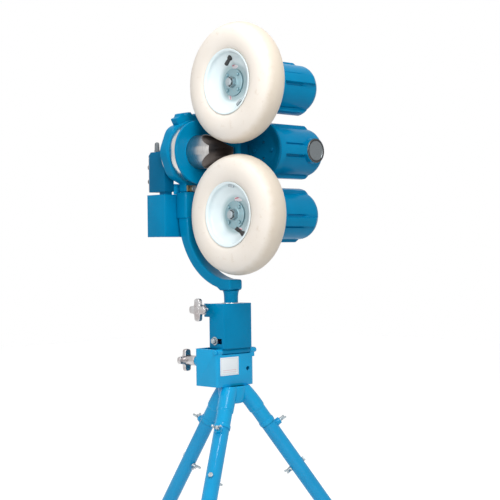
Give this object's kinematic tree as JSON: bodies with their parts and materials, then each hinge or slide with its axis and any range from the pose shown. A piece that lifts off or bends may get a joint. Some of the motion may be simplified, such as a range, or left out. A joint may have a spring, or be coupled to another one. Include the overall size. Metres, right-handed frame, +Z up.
{
  "type": "cricket bowling machine",
  "caption": "Bowling machine with two white wheels one above the other, motors under ribbed blue covers, a feed chute and a yoke that swivels, tilts and rolls on a tripod.",
  "frame": {"origin": "on the floor, under the middle of the object's box at rest", "axes": "+Z up, the ball leaves toward -Y, the wheels' open faces look toward -X and the motors lie toward +X"},
  "size_m": [0.8154, 0.7143, 1.8235],
  "materials": {
    "blue_paint": "satin enamel",
    "blue_casting": "satin enamel on cast aluminium",
    "white_rubber": "off-white solid rubber",
    "white_enamel": "gloss white enamel",
    "stainless": "satin stainless",
    "machined_aluminium": "turned",
    "cast_aluminium": "cast and polished",
    "zinc_steel": "zinc plated",
    "black_enamel": "satin black",
    "black_plastic": "matt black",
    "grey_rubber": "matt grey",
    "black_rubber": "matt black",
    "white_label": "satin white"
  },
  "bodies": {
    "tripod": {"tilt_box": "blue_paint", "hinge_pin": "blue_paint", "label_plate": "white_label", "leg_hub": "blue_casting", "rear_leg_tube": "blue_paint", "rear_thumb_screw": "zinc_steel", "rear_leg_bolt": "zinc_steel", "right_leg_tube": "blue_paint", "right_thumb_screw": "zinc_steel", "right_leg_bolt": "zinc_steel", "left_leg_tube": "blue_paint", "left_thumb_screw": "zinc_steel", "left_leg_bolt": "zinc_steel"},
    "tilt_knob_body": {"tilt_knob": "cast_aluminium"},
    "tilt_housing": {"swivel_housing": "blue_paint", "neck_bush": "machined_aluminium", "cross_bolt": "zinc_steel"},
    "swivel_knob_body": {"swivel_knob": "cast_aluminium"},
    "yoke": {"roll_ring": "blue_casting", "ring_clamp_bolt": "zinc_steel", "yoke_arm": "blue_casting", "neck_shaft": "blue_paint", "supply_box": "blue_paint", "supply_box_cover": "blue_paint", "mains_inlet": "black_plastic", "control_box": "blue_paint", "control_panel": "machined_aluminium"},
    "upper_dial_body": {"upper_dial": "black_plastic"},
    "lower_dial_body": {"lower_dial": "black_plastic"},
    "power_switch_body": {"power_switch": "grey_rubber"},
    "head": {"head_frame": "blue_casting", "upper_motor": "black_enamel", "lower_motor": "black_enamel", "upper_motor_cover": "blue_casting", "lower_motor_cover": "blue_casting", "middle_cover": "blue_casting", "badge_plate": "black_plastic", "middle_dish": "blue_casting", "speed_controller": "machined_aluminium", "throat_flange": "blue_casting", "throat_sleeve": "machined_aluminium", "throat_retainer": "machined_aluminium", "ball_chute": "stainless"},
    "upper_wheel": {"upper_tyre": "white_rubber", "upper_rim": "white_enamel", "upper_hub": "zinc_steel", "upper_axle": "zinc_steel", "upper_rotor": "zinc_steel"},
    "lower_wheel": {"lower_tyre": "white_rubber", "lower_rim": "white_enamel", "lower_hub": "zinc_steel", "lower_axle": "zinc_steel", "lower_rotor": "zinc_steel"},
    "rear_inner": {"rear_inner_leg": "zinc_steel", "rear_foot": "black_rubber"},
    "right_inner": {"right_inner_leg": "zinc_steel", "right_foot": "black_rubber"},
    "left_inner": {"left_inner_leg": "zinc_steel", "left_foot": "black_rubber"}
  },
  "joints": [
    {"name": "tilt", "type": "hinge", "parent": "tripod", "child": "tilt_housing", "pos_m": [0, -0.12484, 0.723], "axis": [1, 0, 0], "range_deg": [-8, 12]},
    {"name": "swivel", "type": "hinge", "parent": "tilt_housing", "child": "yoke", "pos_m": [0, -0.10884, 0.8], "axis": [0, 0, 1], "range_deg": [-90, 90]},
    {"name": "head_roll", "type": "hinge", "parent": "yoke", "child": "head", "pos_m": [0, 0.06316, 1.4], "axis": [0, 1, 0], "range_deg": [-90, 90]},
    {"name": "upper_wheel_spin", "type": "hinge", "parent": "head", "child": "upper_wheel", "pos_m": [0, -0.14684, 1.6205], "axis": [1, 0, 0], "continuous": true},
    {"name": "lower_wheel_spin", "type": "hinge", "parent": "head", "child": "lower_wheel", "pos_m": [0, -0.14684, 1.1795], "axis": [1, 0, 0], "continuous": true},
    {"name": "swivel_knob_turn", "type": "hinge", "parent": "tilt_housing", "child": "swivel_knob_body", "pos_m": [-0.101, -0.05584, 0.863], "axis": [1, 0, 0], "range_deg": [0, 180]},
    {"name": "tilt_knob_turn", "type": "hinge", "parent": "tripod", "child": "tilt_knob_body", "pos_m": [-0.06, 0.05216, 0.688], "axis": [0, 1, 0], "range_deg": [0, 180]},
    {"name": "upper_dial_turn", "type": "hinge", "parent": "yoke", "child": "upper_dial_body", "pos_m": [-0.063, 0.21696, 1.355], "axis": [0, -1, 0], "range_deg": [0, 270]},
    {"name": "lower_dial_turn", "type": "hinge", "parent": "yoke", "child": "lower_dial_body", "pos_m": [-0.063, 0.21696, 1.305], "axis": [0, -1, 0], "range_deg": [0, 270]},
    {"name": "switch_toggle", "type": "hinge", "parent": "yoke", "child": "power_switch_body", "pos_m": [-0.063, 0.19316, 1.40475], "axis": [1, 0, 0], "range_deg": [-10, 10]},
    {"name": "rear_leg_slide", "type": "slide", "parent": "tripod", "child": "rear_inner", "axis": [0, 0.5736, -0.8192], "range_m": [-0.04, 0.05]},
    {"name": "right_leg_slide", "type": "slide", "parent": "tripod", "child": "right_inner", "axis": [0.4967, -0.2868, -0.8192], "range_m": [-0.04, 0.05]},
    {"name": "left_leg_slide", "type": "slide", "parent": "tripod", "child": "left_inner", "axis": [-0.4967, -0.2868, -0.8192], "range_m": [-0.04, 0.05]}
  ]
}
